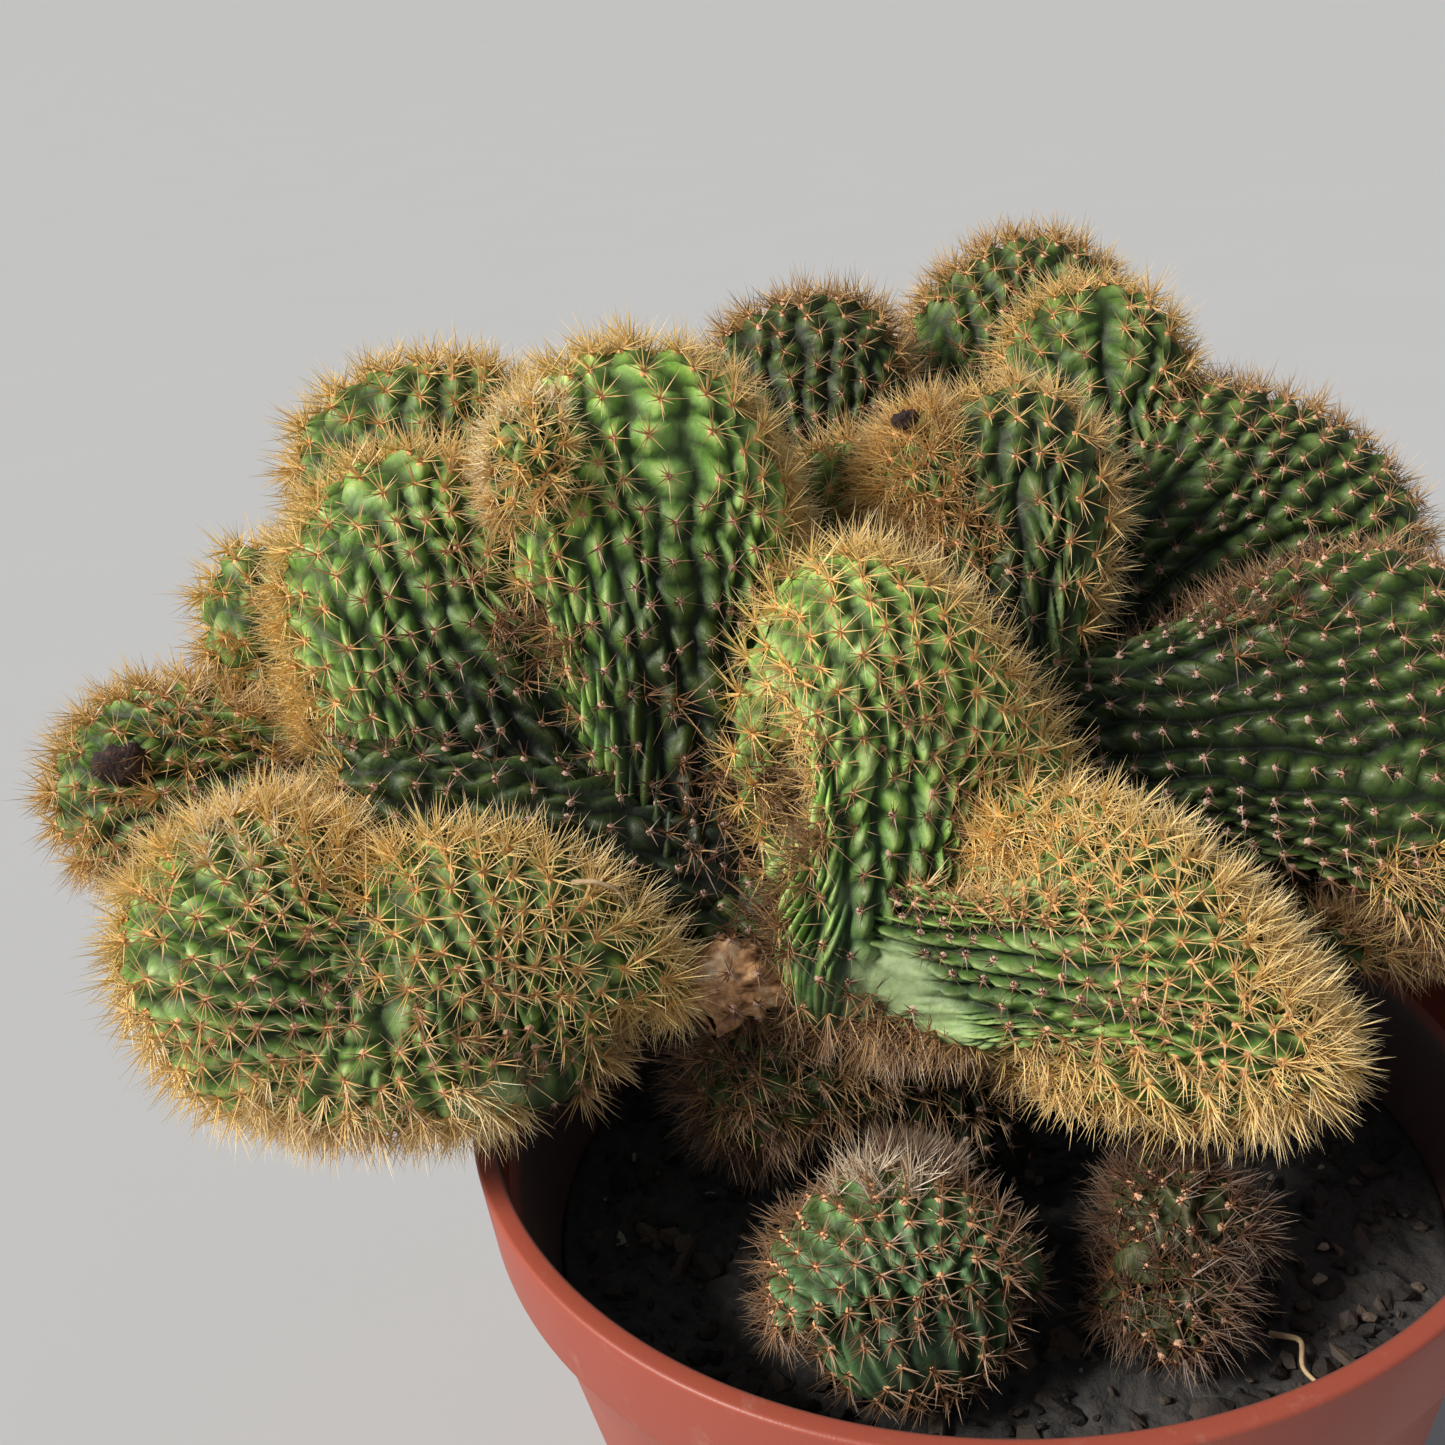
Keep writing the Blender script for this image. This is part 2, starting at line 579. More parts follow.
    def ribPath(self, number, row):  # where a rib runs across the columns, and whether it still runs there
        once, twice = self.joined[row, number], self.joinedAgain[row, number]
        first = 2 * (number // 2) + 1 + np.where(number % 2, 0.5, -0.5) * (1 - once)
        second = 4 * (number // 4) + 2 + np.where(number % 4 > 1, 1, -1) * (1 - twice)
        runs = ((once < 0.5) | (number % 2 == 0)) & ((twice < 0.5) | (number % 4 == 0))
        path = np.where(twice > 0, second, first)
        column = (path * ribs["samples"]).astype(int) % self.columns
        return (path - self.wander[row, column]) * ribs["samples"] - 0.5, runs

    def holds(self, points, margin):  # which points lie inside this fan
        inside = np.zeros(len(points), bool)
        near = np.all((points > self.low - 1 * mm) & (points < self.high + 1 * mm), axis=1)
        for index in np.nonzero(near)[0]:
            point = Vector(points[index])
            hit, normal, _, distance = self.tree.find_nearest(point)
            if (point - hit).dot(normal) * self.turned < -margin * distance:
                inside[index] = distance > margin
        return inside


def spotOn(grid, row, column):  # a value between the points of a closed grid
    columns = grid.shape[1]
    row = np.clip(row, 0, len(grid) - 1.001)
    r0, c0 = np.floor(row).astype(int), np.floor(column).astype(int)
    fr, fc = (row - r0)[:, None], (column - c0)[:, None]
    c0, c1 = c0 % columns, (c0 + 1) % columns
    return ((grid[r0, c0] * (1 - fc) + grid[r0, c1] * fc) * (1 - fr)
            + (grid[r0 + 1, c0] * (1 - fc) + grid[r0 + 1, c1] * fc) * fr)


def isBuried(points, fan, fans, margin):
    buried = np.zeros(len(points), bool)
    for other in fans:
        if other is not fan:
            left = np.nonzero(~buried)[0]
            buried[left] = other.holds(points[left], margin)
    return buried


def soilTop(x, y):
    return pot["height"] - soil["drop"] + soil["heap"] * (1 - (np.hypot(x, y) / potInnerTop) ** 2)


def isInOpenAir(points):  # outside the pot's wall and above the soil
    radius = np.hypot(points[:, 0], points[:, 1])
    aboveSoil = points[:, 2] > soilTop(points[:, 0], points[:, 1]) + 0.8 * mm
    offRim = (points[:, 2] > pot["height"] + 0.5 * mm) | (radius < potInnerTop - 0.5 * mm)
    return aboveSoil & (offRim | (radius > pot["radius"] + 0.5 * mm))


# needles are slim three-sided cones, a felt pad is a low dome
spines = {
    "radius": 0.105 * mm,
    "perAreole": 13,
    "central": 3,
    "length": (2.4 * mm, 4.0 * mm),
    "centralLonger": 1.3,
    "lean": (12, 42),
    "centralLean": (40, 88),
    "padRadius": 0.5 * mm,
}
crestSpines = {
    "length": (2.8 * mm, 5.4 * mm),
    "band": 4.6 * mm,
    "perTuft": 9,
    "spread": 0.68,
    "tuftsApart": (1.5 * mm, 0.15),
    "ringsApart": (1.15 * mm, 0.14),
    "fullReach": 8 * mm,
}
patchSpines = {
    "length": (2.6, 5.0),
    "perTuft": 9,
    "spread": 0.62,
}
topTone = 1.3  # of the palest fresh spines


class Needles:
    def __init__(self):
        self.parts = []

    def add(self, foot, direction, length, radius, tone):
        self.parts.append((foot, unit(direction), length, radius, tone))

    def mesh(self):
        foot, direction, length, radius, tone = (np.concatenate(column) for column in zip(*self.parts))
        helper = np.where(np.abs(direction[:, 2:3]) < 0.8, [[0, 0, 1.0]], [[1.0, 0, 0]])
        first = unit(np.cross(direction, helper))
        second = np.cross(direction, first)
        corners = [foot + radius[:, None] * (first * math.cos(a) + second * math.sin(a))
                   for a in (0, fullTurn / 3, fullTurn * 2 / 3)]
        points = np.stack([*corners, foot + direction * length[:, None]], axis=1).reshape(-1, 3)
        sides = np.array([[0, 1, 3], [1, 2, 3], [2, 0, 3]])
        faces = (np.arange(len(foot))[:, None, None] * 4 + sides).reshape(-1, 3)
        tip = np.tile([0.0, 0, 0, 1], len(foot))
        shade = np.repeat(np.clip(tone / topTone, 0.02, 0.98), 4)
        uv = np.stack([shade[faces], 0.1 + 0.8 * tip[faces]], axis=-1)
        uv[:, 1, 0] += 0.004  # a little width, so that a pattern can be laid on
        return points, faces, {"tone": shade, "tip": tip}, uv.reshape(-1, 2)


def addTufts(needles, foot, normal, tone, look, length, chance):
    foot = foot + chance.normal(0, 0.1 * mm, foot.shape)
    for _ in range(look["perTuft"]):
        direction = unit(normal + chance.normal(0, look["spread"], foot.shape))
        reach = chance.uniform(*length, len(foot))
        start = foot + direction * 0.15 * mm
        clear = isInOpenAir(start + direction * reach[:, None])
        shade = np.clip(tone + chance.normal(0, 0.08, len(foot)), 0, topTone)
        radius = np.full(clear.sum(), spines["radius"] * 0.9)
        needles.add(start[clear], direction[clear], reach[clear], radius, shade[clear])


def growSpines(fan, fans, needles, pads):
    chance, look = fan.chance, fan.look
    places = []
    for number in range(fan.ribCount):
        near = int((number + 0.5) * ribs["samples"])
        down = fan.fromCrest[:, near]
        trial = np.linspace(0, down[0], 500)
        along = np.interp(np.arange(60) + fan.phases[number], fan.rowsDown(trial), trial)
        along = along[(along < down[1]) & (along > 1.0 * mm)]
        row = np.interp(along, down[::-1], np.arange(len(down))[::-1])
        nearRow = np.round(row).astype(int)
        column, runs = fan.ribPath(number, nearRow)
        keep = runs & (fan.scar[nearRow, near] < 0.4)
        places += list(zip(row[keep], column[keep], along[keep]))
    if not places:
        return
    row, column, fromCrest = np.array(places).T
    row = np.clip(row + chance.normal(0, 0.3, len(row)), 0, len(fan.base) - 2)
    foot = spotOn(fan.skin, row, column)
    clear = ~isBuried(foot, fan, fans, 0.3 * mm) & isInOpenAir(foot)
    foot, fromCrest = foot[clear], fromCrest[clear]
    if not len(foot):
        return
    normal = unit(spotOn(fan.smoothNormals, row, column)[clear])
    up = unit(spotOn(np.gradient(fan.base, axis=0), row, column)[clear])
    across = np.cross(normal, up)
    count = len(foot)
    fresh = np.clip(1.15 - fromCrest / (look["young"] * mm), 0.12, 1) * look["gold"]
    pads.append((foot, normal, up, fresh))
    for spoke in range(spines["perAreole"] + spines["central"]):
        isCentral = spoke >= spines["perAreole"]
        turn = spoke * fullTurn / spines["perAreole"] + chance.normal(0, 0.25, count)
        lift = np.radians(chance.uniform(*spines["centralLean" if isCentral else "lean"], count))
        direction = (normal * np.sin(lift)[:, None]
                     + (across * np.cos(turn)[:, None] + up * np.sin(turn)[:, None]) * np.cos(lift)[:, None])
        length = chance.uniform(*spines["length"], count) * (0.5 + 0.6 * fresh) * look["length"]
        if isCentral:
            length = length * spines["centralLonger"]
        there = chance.random(count) < 0.5 + 0.5 * fresh
        start = foot + normal * 0.1 * mm + direction * 0.2 * mm
        there &= isInOpenAir(start + direction * length[:, None])
        tone = np.clip(fresh * 0.9 + chance.normal(0, 0.09, count), 0, 1)
        radius = spines["radius"] * (0.85 + 0.15 * fresh)
        needles.add(start[there], direction[there], length[there], radius[there], tone[there])


def growCrest(fan, fans, needles):  # rings of tufts below the crest, closest together along it
    chance, look = fan.chance, fan.look
    if not look["cover"]:
        return
    distance, places = 0.2 * mm, []
    band = crestSpines["band"] * look["band"]
    while distance < band:
        wider = min(distance, crestSpines["fullReach"])
        near = int(np.argmin(np.abs(fan.fromCrest[:, fan.columns // 4] - distance)))
        ring = fan.base[near]
        girth = lengths(np.roll(ring, 1, axis=0) - ring).sum()
        apart, more = crestSpines["tuftsApart"]
        count = max(4, int(girth / ((apart + more * wider) / look["cover"])))
        column = (np.arange(count) + chance.uniform(0, 1, count)) / count * fan.columns
        depth = np.clip(distance + chance.normal(0, 0.35 * mm, count), 0.05 * mm, None)
        for c, d in zip(column, depth):
            down = fan.fromCrest[:, int(c) % fan.columns]
            places.append((np.interp(d, down[::-1], np.arange(len(down))[::-1]), c, d))
        apart, more = crestSpines["ringsApart"]
        distance += apart + more * wider
    row, column, fromCrest = np.array(places).T
    foot = spotOn(fan.skin, row, column)
    share = fan.shareAlong[column.astype(int) % fan.columns]
    kept = np.ones(len(share))
    for start, end, left in look["thin"]:
        kept[(share >= start) & (share <= end)] = left
    clear = ~isBuried(foot, fan, fans, 0.2 * mm) & isInOpenAir(foot)
    clear &= chance.random(len(foot)) < (1.1 - 0.7 * fromCrest / band) * kept
    foot, fromCrest, kept = foot[clear], fromCrest[clear], kept[clear]
    normal = unit(spotOn(fan.smoothNormals, row, column)[clear])
    tone = (1.05 - 0.3 * fromCrest / band) * look["gold"] * (0.4 + 0.6 * kept)
    reach = np.array(crestSpines["length"]) * look["length"]
    addTufts(needles, foot, normal, tone, crestSpines, reach, chance)


def growPatches(fans, needles):  # crowded spines in the notches and on the old wood
    for centre, radius, tufts, gold, *length in patches:
        chance = np.random.default_rng(int(abs(centre[0] * 10)) + 3)
        feet, normals = [], []
        for fan in fans:
            if fan.look["cork"]:
                continue
            points = fan.skin.reshape(-1, 3)
            near = np.nonzero(lengths(points - overRim(centre)) < radius * mm)[0]
            near = near[~isBuried(points[near], fan, fans, 0.2 * mm) & isInOpenAir(points[near])]
            feet.append(points[near])
            normals.append(fan.smoothNormals.reshape(-1, 3)[near])
        feet, normals = np.concatenate(feet), np.concatenate(normals)
        if len(feet):
            chosen = chance.integers(0, len(feet), tufts)
            reach = np.array(length[0] if length else patchSpines["length"]) * mm
            addTufts(needles, feet[chosen], normals[chosen], np.full(tufts, gold), patchSpines, reach, chance)


def makePads(name, pads, material, node, slotName):
    foot, normal, up, fresh = (np.concatenate(column) for column in zip(*pads))
    across = np.cross(normal, up)
    ring = [foot + (across * math.cos(a) + up * math.sin(a)) * spines["padRadius"] - normal * 0.2 * mm
            for a in np.arange(6) * math.pi / 3]
    points = np.stack([*ring, foot + normal * 0.5 * mm], axis=1).reshape(-1, 3)
    wedge = np.array([[k, (k + 1) % 6, 6] for k in range(6)])
    faces = (np.arange(len(foot))[:, None, None] * 7 + wedge).reshape(-1, 3)
    shade = np.repeat(np.clip(fresh / topTone, 0.02, 0.97), 7)
    uv = np.stack([shade[faces], np.tile([0.1, 0.1, 0.9], (len(faces), 1))], axis=-1)
    uv[:, 1, 0] += 0.01
    newPiece(name, points, faces, material, node, slotName, {"tone": shade}, uv.reshape(-1, 2))


skinLooks = {
    "hidden": 1.9 * mm,  # skin this deep in another fan is left away
    "underSoil": 3 * mm,
    "crestReach": 12 * mm,
    "deepReach": 26 * mm,
}


def makeSkin(fan, fans, material, node, slotName):
    rows, columns = fan.skin.shape[:2]
    points = fan.skin.reshape(-1, 3)
    faces = gridFaces(rows, columns)
    hidden = isBuried(fan.base.reshape(-1, 3), fan, fans, skinLooks["hidden"])
    hidden |= points[:, 2] < soilTop(points[:, 0], points[:, 1]) - skinLooks["underSoil"]
    seen = ~np.all(hidden[faces], axis=1)
    number, faces = np.arange(len(faces))[seen], faces[seen]
    row, column = number // columns, number % columns
    u = np.stack([column, column + 1, column + 1, column], axis=1) / columns
    v = np.stack([row, row, row + 1, row + 1], axis=1) / (rows - 1)
    used = np.unique(faces)
    renumber = np.full(len(points), -1)
    renumber[used] = np.arange(len(used))
    look = fan.look
    darker = look["deep"] * smooth(fan.fromCrest / skinLooks["deepReach"] - 0.5)
    values = {"ridge": fan.ridge, "line": fan.line, "scar": fan.scar,
              "crest": np.exp(-fan.fromCrest / skinLooks["crestReach"]),
              "age": fan.fromCrest / fan.fromCrest.max(),
              "vigour": look["skin"] * (1 - darker),
              "cork": np.full(darker.shape, look["cork"]), "bloom": np.full(darker.shape, look["wax"])}
    newPiece("skin_" + fan.name.replace(" ", "_"), points[used], renumber[faces], material, node, slotName,
             {key: grid.reshape(-1)[used] for key, grid in values.items()},
             np.stack([u, v], axis=-1).reshape(-1, 2))
    return len(faces) * 2


def skinMaterial(name, groove, flesh, ridge, lime, wax, old):
    look = Shader(name, IOR=1.42)
    height, crest, age, scar, vigour = map(look.attribute, ("ridge", "crest", "age", "scar", "vigour"))
    mottle = look.noise(4 * mm, 4)
    cloud = look.noise(13 * mm, 2)
    fine = look.noise(0.7 * mm, 3)
    green = look.ramp(height + (mottle - 0.5) * 0.3, (0.15, groove), (0.55, flesh), (0.9, flesh))
    pale = look.band(look.attribute("line") + (mottle - 0.5) * 0.5, 0.2, 0.85)
    green = look.mix(pale * (1 - 0.5 * age), green, ridge)
    green = look.mix(look.band(cloud, 0.5, 0.7) * look.band(height, 0.35, 0.8) * 0.5, green, lime)
    green = look.mix(crest * 0.3, green, (0.18, 0.26, 0.04))
    green = look.mix(look.band(mottle, 0.4, 0.75) * height * look.attribute("bloom"), green, wax)
    green = look.mix(look.band(age + (mottle - 0.5) * 0.4, 0.35, 0.85) * 0.9, green, old)
    green = look.mix(scar * (0.3 + 0.7 * mottle), green, wax)
    bark = look.ramp(mottle + (fine - 0.5) * 0.5, (0.3, (0.22, 0.09, 0.035)), (0.55, (0.68, 0.38, 0.18)),
                     (0.75, (0.92, 0.72, 0.48)))
    green = look.mix(look.attribute("cork"), green, bark)
    green = look.mix(1.0, green, look.mix(fine, (0.7, 0.7, 0.7), (1.25, 1.25, 1.25)), "MULTIPLY")
    shade = look.node("ShaderNodeCombineColor", {}, {0: vigour, 1: vigour, 2: vigour})
    green = look.mix(1.0, green, shade, "MULTIPLY")
    rough = 0.32 + 0.25 * fine + 0.2 * (1 - height)
    bump = look.bump(fine + look.noise(0.25 * mm, 2) * 0.4, 0.12 * mm, 0.7)
    return look.finish(Base_Color=green, Roughness=rough, Normal=bump)


def spineMaterial(name, *tones):
    look = Shader(name, IOR=1.5)
    tone, tip = look.attribute("tone"), look.attribute("tip")
    colour = look.ramp(tone, *tones)
    colour = look.mix(look.band(tip, 0.3, 0.0) * 0.4, colour, (0.55, 0.24, 0.07))
    colour = look.mix(look.band(tip, 0.4, 1.0) * 0.6 * tone, colour, (1.0, 0.90, 0.66))
    return look.finish(Base_Color=colour, Roughness=0.42 + 0.1 * tip)


def grainy(look, grain, colour, rough, rougher, relief):  # the finish of soil, felt and dry bits
    return look.finish(Base_Color=colour, Roughness=rough + rougher * grain, Normal=look.bump(grain, relief))


def padMaterial():
    look = Shader("areole felt")
    felt = look.ramp(look.attribute("tone"), (0.0, (0.40, 0.29, 0.25)), (0.3, (0.60, 0.36, 0.24)),
                     (0.75, (0.78, 0.40, 0.14)))
    grain = look.noise(0.25 * mm, 2)
    colour = look.mix(grain, felt, look.mix(1.0, felt, (1.5, 1.45, 1.4), "MULTIPLY"))
    return grainy(look, grain, colour, 0.85, 0.1, 0.15 * mm)


# the three plants: their fans, what they replace, the colours of the skin in its grooves, on the flesh and
# the ridges, in lime patches, under wax and in old age, and those of the spines from old to fresh
plants = {
    "crested": dict(
        table=mainLobes, node="crested_stem", slotName="crested_skin",
        skin=("crested skin", (0.007, 0.020, 0.006), (0.085, 0.185, 0.026), (0.34, 0.45, 0.13),
              (0.25, 0.40, 0.045), (0.34, 0.44, 0.22), (0.022, 0.042, 0.018)),
        spine=("golden spines", (0.0, (0.05, 0.03, 0.024)), (0.18, (0.22, 0.115, 0.07)),
               (0.4, (0.62, 0.39, 0.16)), (0.76, (0.95, 0.68, 0.24)), (1.0, (0.92, 0.84, 0.66)))),
    "front": dict(
        table=frontOffsetLobes, node="front_offset", slotName="offset_skin",
        skin=("offset skin", (0.008, 0.025, 0.012), (0.060, 0.155, 0.055), (0.22, 0.36, 0.17),
              (0.14, 0.27, 0.07), (0.30, 0.42, 0.32), (0.03, 0.05, 0.03)),
        spine=("pale brown spines", (0.0, (0.05, 0.028, 0.02)), (0.5, (0.33, 0.18, 0.10)),
               (1.0, (0.75, 0.62, 0.48)))),
    "side": dict(
        table=sideOffsetLobes, node="side_offset", slotName="old_offset_skin",
        skin=("old offset skin", (0.014, 0.014, 0.008), (0.06, 0.065, 0.027), (0.13, 0.12, 0.06),
              (0.10, 0.11, 0.04), (0.2, 0.17, 0.12), (0.05, 0.035, 0.022)),
        spine=("dull brown spines", (0.0, (0.03, 0.016, 0.012)), (0.5, (0.20, 0.105, 0.065)),
               (1.0, (0.45, 0.28, 0.18)))),
}


def makeNeedles(title, name, needles, *rest):
    points, faces, values, uv = needles.mesh()
    newPiece(title + name.replace(" ", "_"), points, faces, *rest, values, uv, softly=False)
    report("%s%s, %d" % (title, name, len(faces) // 3))


def makePlant(title, table, node, slotName, skin, spine, pad):
    skin, spine = skinMaterial(*skin), spineMaterial(*spine)
    fans = [Fan(name, shape, ribs["seed"] + index) for index, (name, shape) in enumerate(table.items())]
    report(title + " fans shaped")
    total = sum(makeSkin(fan, fans, skin, node, slotName) for fan in fans)
    report(title + " skin, %d triangles" % total)
    needles, pads = Needles(), []
    for fan in fans:
        growSpines(fan, fans, needles, pads)
    growPatches(fans, needles)
    makeNeedles(title, " spines", needles, spine, node, slotName)
    makePads(title + "_areoles", pads, pad, node, slotName)
    third = len(fans) // 3 + 1
    for part in range(3):
        needles = Needles()
        for fan in fans[part * third:(part + 1) * third]:
            growCrest(fan, fans, needles)
        if needles.parts:
            makeNeedles(title, " crest spines %d" % (part + 1), needles, spine, node, slotName)


def makeSoil():
    look = Shader("potting soil")
    grain = look.noise(1.1 * mm, 5, 0.65)
    patch = look.noise(7 * mm, 2)
    colour = look.ramp(grain, (0.3, soil["colour"]), (0.62, soil["dry"]), (0.85, (0.12, 0.085, 0.06)))
    colour = look.mix(patch * 0.5, colour, soil["colour"])
    material = grainy(look, grain, colour, 0.8, 0.2, 0.5 * mm)
    share = soilTop(potInnerTop, 0) / potBodyHeight
    edgeRadius = potInnerBase + (potInnerTop - potInnerBase) * share - soil["gap"]
    rings, turns = soil["rings"], soil["turns"]
    radius = np.linspace(0.0, edgeRadius, rings + 1)[1:]
    angle = np.arange(turns) / turns * fullTurn
    x, y = radius[:, None] * np.cos(angle), radius[:, None] * np.sin(angle)
    height = soilTop(x, y)
    for row in range(rings - 1):
        for column in range(turns):
            spot = Vector((x[row, column], y[row, column], 0))
            lump = noise.fractal(spot / soil["lumpSize"], 0.6, 2.1, 3)
            crumb = noise.fractal(spot / soil["crumbSize"] + Vector((7, 3, 0)), 0.7, 2.0, 3)
            height[row, column] += soil["lump"] * 0.8 * lump + soil["crumb"] * crumb
    top = np.stack([x, y, height], axis=-1).reshape(-1, 3)
    lowRadius, lowest = potInnerBase - 0.8 * mm, pot["floor"] + soil["gap"]
    low = np.stack([lowRadius * np.cos(angle), lowRadius * np.sin(angle), np.full(turns, lowest)], -1)
    points = np.vstack([top, low, [[0, 0, soilTop(0, 0)], [0, 0, lowest]]])
    middle, bottom = len(points) - 2, len(points) - 1
    fan = [[middle, c, (c + 1) % turns] for c in range(turns)]
    under = [[bottom, rings * turns + (c + 1) % turns, rings * turns + c] for c in range(turns)]
    faces = [face[::-1] for face in gridFaces(rings + 1, turns).tolist()] + fan + under
    newPiece("soil_bed", points, faces, material, "soil", "soil")
    report("soil bed")


def makeGrains():
    chance = np.random.default_rng(soil["seed"])
    look = Shader("bark and grit")
    colour = look.ramp(look.attribute("tone"), (0.0, (0.016, 0.013, 0.012)), (0.6, (0.06, 0.045, 0.036)),
                       (0.85, (0.15, 0.11, 0.08)), (1.0, (0.38, 0.33, 0.27)))
    grain = look.noise(0.5 * mm, 3)
    colour = look.mix(grain, look.mix(1.0, colour, (0.6, 0.6, 0.6), "MULTIPLY"), colour)
    material = grainy(look, grain, colour, 0.7, 0.25, 0.2 * mm)
    golden = (1 + math.sqrt(5)) / 2
    ball = [np.roll((x, y, 0), k) for k in range(3) for y in (golden, -golden) for x in (-1, 1)]
    ballFaces = np.array([(0, 11, 5), (0, 5, 1), (0, 1, 7), (0, 7, 10), (0, 10, 11), (1, 5, 9), (5, 11, 4),
                          (11, 10, 2), (10, 7, 6), (7, 1, 8), (3, 9, 4), (3, 4, 2), (3, 2, 6), (3, 6, 8),
                          (3, 8, 9), (4, 9, 5), (2, 4, 11), (6, 2, 10), (8, 6, 7), (9, 8, 1)])
    count = soil["grains"]
    radius = np.sqrt(chance.random(count)) * (potInnerTop - 5 * mm)
    angle = chance.uniform(0, fullTurn, count)
    place = np.stack([radius * np.cos(angle), radius * np.sin(angle), np.zeros(count)], axis=1)
    place[:, 2] = soilTop(place[:, 0], place[:, 1]) + chance.uniform(-0.2, 0.6, count) * mm
    size = (0.35 + 1.1 * chance.random(count) ** 2.5) * mm
    stretch = [chance.uniform(*limits, count) for limits in ((0.8, 2.4), (0.6, 1.2), (0.4, 0.9))]
    shapes = np.array(ball) / 1.9 * (1 + chance.normal(0, 0.16, (count, 12, 1)))
    shapes = shapes * np.stack(stretch, axis=1)[:, None] * size[:, None, None]
    turn, tilt = chance.uniform(0, fullTurn, (count, 1)), chance.normal(0, 0.4, (count, 1))
    x, y, z = shapes[..., 0], shapes[..., 1], shapes[..., 2]
    x, z = x * np.cos(tilt) - z * np.sin(tilt), x * np.sin(tilt) + z * np.cos(tilt)
    x, y = x * np.cos(turn) - y * np.sin(turn), x * np.sin(turn) + y * np.cos(turn)
    points = (np.stack([x, y, z], axis=-1) + place[:, None]).reshape(-1, 3)
    faces = (np.arange(count)[:, None, None] * 12 + ballFaces).reshape(-1, 3)
    tones = np.where(chance.random(count) < soil["paleGrains"], 1.0, chance.random(count) ** 1.5 * 0.85)
    tones = {"tone": np.repeat(tones, 12)}
    newPiece("soil_grains", points, faces, material, "soil", "soil", tones, softly=False)
    report("soil grains")


def potProfile():
    bandBottom, rounding = potBodyHeight, pot["rounding"]
    rim, lip, floor, base = pot["radius"], pot["lip"], pot["floor"], pot["baseRadius"]
    floorRadius = potInnerBase + (potInnerTop - potInnerBase) * (floor + rounding) / bandBottom

    def corner(x, z, startAngle, endAngle):
        return [(x + rounding * math.cos(a), z + rounding * math.sin(a))
                for a in np.radians(np.linspace(startAngle, endAngle, 5))]

    profile = [(0, floor), (potInnerBase * 0.5, floor), (potInnerBase - 1.5 * mm, floor),
               (floorRadius, floor + rounding)]
    profile += [(floorRadius + (potInnerTop - floorRadius) * k / 6, floor + rounding
                 + (bandBottom - floor - rounding) * k / 6) for k in range(1, 6)]
    profile += [(potInnerTop, bandBottom), (rim - lip - 0.5 * mm, bandBottom + pot["wall"])]
    profile += corner(rim - lip + rounding, pot["height"] - rounding, 180, 90)
    profile += corner(rim - rounding, pot["height"] - rounding, 90, 0)
    profile += corner(rim - 0.6 * mm - rounding, bandBottom + rounding, 0, -90)
    profile += [(potBodyTop + 0.25 * mm, bandBottom), (potBodyTop, bandBottom - 0.3 * mm)]
    profile += [(potBodyTop + (base + rounding - potBodyTop) * k / 8,
                 bandBottom + (2 * rounding - bandBottom) * k / 8) for k in range(1, 8)]
    profile += [(base + rounding, 2 * rounding), (base + 0.2 * mm, 0.35 * mm), (base - rounding, 0),
                (base * 0.5, 0), (0, 0)]
    return profile


def potMaterial():
    look = Shader("terracotta plastic", IOR=1.46)
    up = look.node("ShaderNodeSeparateXYZ", {}, {0: look.place()}, 2)
    level = look.node("ShaderNodeVectorMath", {"operation": "MULTIPLY"}, {0: look.place(), 1: (1, 1, 0)})
    radial = look.node("ShaderNodeVectorMath", {"operation": "LENGTH"}, {0: level}, "Value")
    speck = look.noise(0.35 * mm, 2)
    cloud = look.noise(14 * mm, 3)
    dusty = look.band(look.noise(5 * mm, 5, 0.7), 0.58, 0.75) * 0.3
    slope = (potBodyTop - pot["baseRadius"]) / potBodyHeight
    depth = pot["baseRadius"] + slope * up - radial
    inside = look.band(depth, 0.7 * mm, 1.4 * mm) * look.band(up, 1 * mm, 2 * mm)
    colour = look.mix(cloud * 0.35, pot["colour"], pot["cloud"])
    colour = look.mix(dusty, colour, pot["dust"])
    colour = look.mix(inside, colour, pot["shade"])
    rough = 0.36 + 0.2 * cloud + 0.25 * dusty
    return look.finish(Base_Color=colour, Roughness=rough, Normal=look.bump(speck, 0.05 * mm, 0.5))


def makePot():
    mesh = bpy.data.meshes.new("pot_shell")
    profile = potProfile()
    mesh.from_pydata([(r, 0, z) for r, z in profile], [(k, k + 1) for k in range(len(profile) - 1)], [])
    mesh.materials.append(potMaterial())
    shell = addObject("pot_shell", mesh)
    screw = shell.modifiers.new("turn", "SCREW")
    screw.steps = screw.render_steps = pot["turns"]
    screw.use_merge_vertices = True
    screw.merge_threshold = 0.00001
    cutters = []
    for angle in np.arange(pot["drainCount"]) / pot["drainCount"] * fullTurn:
        x, y = pot["drainCircle"] * math.cos(angle), pot["drainCircle"] * math.sin(angle)
        bpy.ops.mesh.primitive_cylinder_add(vertices=40, radius=pot["drainRadius"], depth=pot["floor"] * 3,
                                            location=(x, y, pot["floor"] / 2))
        cutters.append(bpy.context.object)
        cut = shell.modifiers.new("drain", "BOOLEAN")
        cut.object = cutters[-1]
        cut.solver = "EXACT"
    whole = bpy.data.meshes.new_from_object(shell.evaluated_get(bpy.context.evaluated_depsgraph_get()))
    shell.modifiers.clear()
    shell.data = whole
    for cutter in cutters:
        bpy.data.objects.remove(cutter, do_unlink=True)
    whole.polygons.foreach_set("use_smooth", np.ones(len(whole.polygons), bool))
    whole.set_sharp_from_angle(angle=math.radians(40))
    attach(shell, "root")
    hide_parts("pot")
    report("pot")


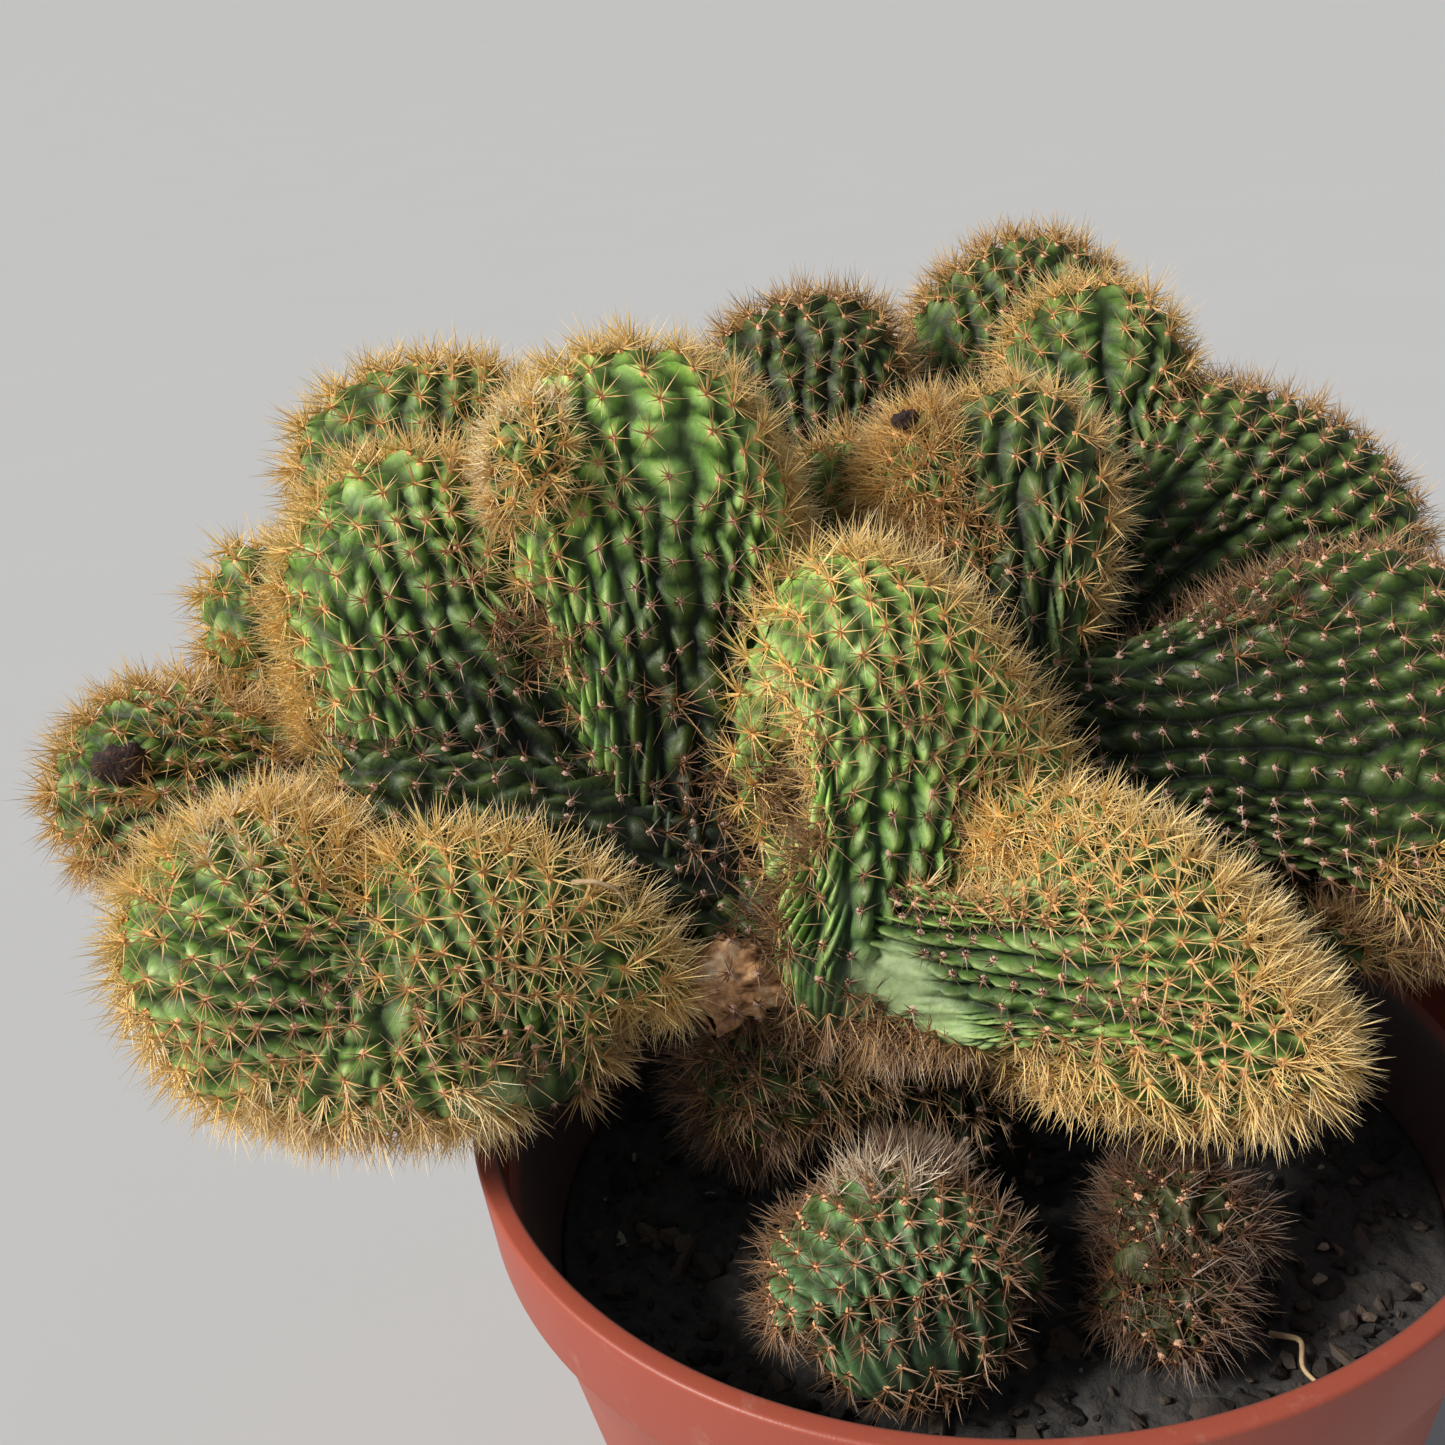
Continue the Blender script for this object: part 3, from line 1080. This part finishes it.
# a crust on the left ball and a dry flake at the back: centre and size
# a straw on the front lobe and a rootlet on the soil: points along them
driedBits = {
    "crust": ((-87.4, 14.2, 36.8), (3.0, 1.0, 2.2)),
    "flake": ((-1.5, 27, 61), (1.5, 0.6, 1.0)),
    "straw": [(-40, -10.5, 31), (-38, -11.5, 31.5), (-36, -11.5, 30.5), (-35, -11.5, 28.5)],
    "rootlet": [(22.5, -27, -18.6), (25, -29, -17.6), (24, -31.5, -18.8), (25.5, -34, -19.2), (27, -35, -20)],
}


def makeDriedBits():
    look = Shader("dried crust")
    grain = look.noise(0.6 * mm, 4)
    colour = look.ramp(grain, (0.3, (0.012, 0.007, 0.008)), (0.6, (0.045, 0.02, 0.018)),
                       (0.8, (0.16, 0.07, 0.045)))
    crust = grainy(look, grain, colour, 0.75, 0.2, 0.4 * mm)
    look = Shader("dry straw")
    grain = look.noise(0.8 * mm, 3)
    straw = grainy(look, grain, look.mix(grain, (0.28, 0.17, 0.08), (0.72, 0.55, 0.33)), 0.6, 0.2, 0.1 * mm)
    around, over = np.meshgrid(np.arange(24) / 24 * fullTurn, np.radians(np.linspace(-80, 80, 13)))
    ball = np.stack([np.cos(over) * np.cos(around), np.cos(over) * np.sin(around), np.sin(over)], axis=-1)
    rough = np.array([[noise.fractal(Vector(p) * 1.9, 0.6, 2.0, 4) for p in row] for row in ball])
    onStem = ("crested_stem", "crested_skin")
    for name in ("crust", "flake"):
        centre, size = driedBits[name]
        points = ball * (1 + 0.28 * rough[..., None]) * np.array(size) * mm + overRim(centre)
        newPiece("dried_" + name, points.reshape(-1, 3), gridFaces(13, 24), crust, *onStem)
    for name, radius, where in (("straw", 0.28 * mm, onStem), ("rootlet", 0.3 * mm, ("soil", "soil"))):
        line = overRim(driedBits[name])
        count = len(line)
        line = between(line, np.arange(count), np.linspace(0, count - 1, 30))
        for _ in range(4):
            line[1:-1] = (line[:-2] + 2 * line[1:-1] + line[2:]) / 4
        ahead = unit(np.gradient(line, axis=0))
        side = unit(np.cross(ahead, [0.1, 0.2, 1]))
        above = np.cross(side, ahead)
        angle = np.arange(8)[:, None] / 8 * fullTurn
        thin = radius * np.linspace(1.1, 0.5, 30)[:, None, None]
        tube = line[:, None] + thin * (side[:, None] * np.cos(angle) + above[:, None] * np.sin(angle))
        newPiece("dry_" + name, tube.reshape(-1, 3), gridFaces(30, 8), straw, *where)
    report("dried bits")


# soft light from the upper left on a plain pale floor, and the camera where the photographer stood
view = {
    "place": (-25.96 * mm, -152.4 * mm, 201.85 * mm),
    "yaw": 0.6,
    "pitch": 25.6,
    "roll": -5.9,
    "angle": 45,
    "floorColour": (0.503, 0.513, 0.533),
    "sunFrom": (-0.74, -0.24, 0.63),
    "sunStrength": 4.5,
    "sunWidth": 18,
    "sunColour": (1.0, 0.95, 0.87),
    "fill": 0.24,
    "fillColour": (0.86, 0.93, 1.0, 1),
}


def makeStage():
    look = Shader("plain floor")
    tint = look.mix(look.noise(0.08, 3), view["floorColour"], tuple(0.97 * c for c in view["floorColour"]))
    bpy.ops.mesh.primitive_plane_add(size=30)
    ground = bpy.context.object
    ground.name = "ground"
    ground.data.materials.append(look.finish(Base_Color=tint, Roughness=0.9))
    lamp = bpy.data.lights.new("window", "SUN")
    lamp.energy = view["sunStrength"]
    lamp.angle = math.radians(view["sunWidth"])
    lamp.color = view["sunColour"]
    sun = addObject("window", lamp)
    sun.rotation_euler = Vector(view["sunFrom"]).to_track_quat("Z", "Y").to_euler()
    world = bpy.data.worlds.new("room")
    world.use_nodes = True
    sky = world.node_tree.nodes["Background"].inputs
    sky["Color"].default_value = view["fillColour"]
    sky["Strength"].default_value = view["fill"]
    bpy.context.scene.world = world


def makeCamera():
    yaw, pitch, roll = (math.radians(view[key]) for key in ("yaw", "pitch", "roll"))
    ahead = Vector((math.sin(yaw) * math.cos(pitch), math.cos(yaw) * math.cos(pitch), -math.sin(pitch)))
    level = Vector((math.cos(yaw), -math.sin(yaw), 0))
    upright = level.cross(ahead)
    right = math.cos(roll) * level + math.sin(roll) * upright
    up = math.cos(roll) * upright - math.sin(roll) * level
    lens = bpy.data.cameras.new("camera")
    lens.angle = math.radians(view["angle"])
    lens.clip_start = 0.01
    camera = addObject("camera", lens)
    turned = Matrix((right, up, -ahead)).transposed().to_4x4()
    camera.matrix_world = Matrix.Translation(view["place"]) @ turned
    bpy.context.scene.camera = camera
    bpy.context.scene.view_settings.view_transform = "Standard"


makeStage()
makeCamera()
makePot()
makeSoil()
makeGrains()
pad = padMaterial()
for title, plant in plants.items():
    makePlant(title, pad=pad, **plant)
makeDriedBits()
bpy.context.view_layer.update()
report("done")
